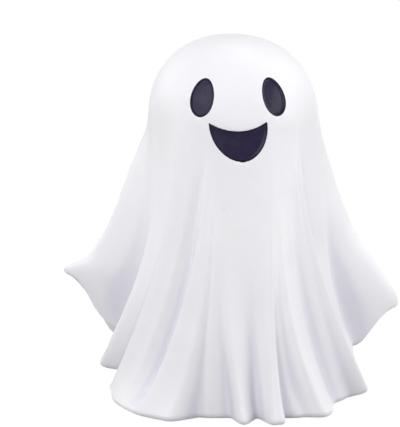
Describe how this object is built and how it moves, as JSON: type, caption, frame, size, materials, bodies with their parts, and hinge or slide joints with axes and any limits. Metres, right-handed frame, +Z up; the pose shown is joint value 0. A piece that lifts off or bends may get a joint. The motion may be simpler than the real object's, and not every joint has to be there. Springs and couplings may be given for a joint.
{
  "type": "ceramic ghost figure",
  "caption": "Smiling ghost figure with raised arms under a draped sheet, a hollow slip-cast ceramic shell with a dark glazed face, closed below by a soft stopper and standing on felt pads.",
  "frame": {"origin": "on the table, under the middle of the figure's width across the arms and its depth", "axes": "+Z up; -Y is the front, where the face looks; +X is to the right of someone facing the figure"},
  "size_m": [0.1857, 0.1186, 0.2],
  "materials": {
    "white_ceramic": "satin white bisque with a thin matt glaze",
    "dark_glaze": "gloss, brushed on",
    "stopper_rubber": "soft, translucent white",
    "felt": "pressed felt"
  },
  "bodies": {
    "figure": {"ghost_shell": "white_ceramic", "left_eye": "dark_glaze", "right_eye": "dark_glaze", "mouth": "dark_glaze", "front_left_pad": "felt", "front_right_pad": "felt", "rear_left_pad": "felt", "rear_right_pad": "felt"},
    "stopper": {"pour_hole_stopper": "stopper_rubber"}
  },
  "joints": [
    {"name": "stopper_pull", "type": "slide", "parent": "figure", "child": "stopper", "axis": [0, 0, -1], "range_m": [0, 0.03]}
  ]
}
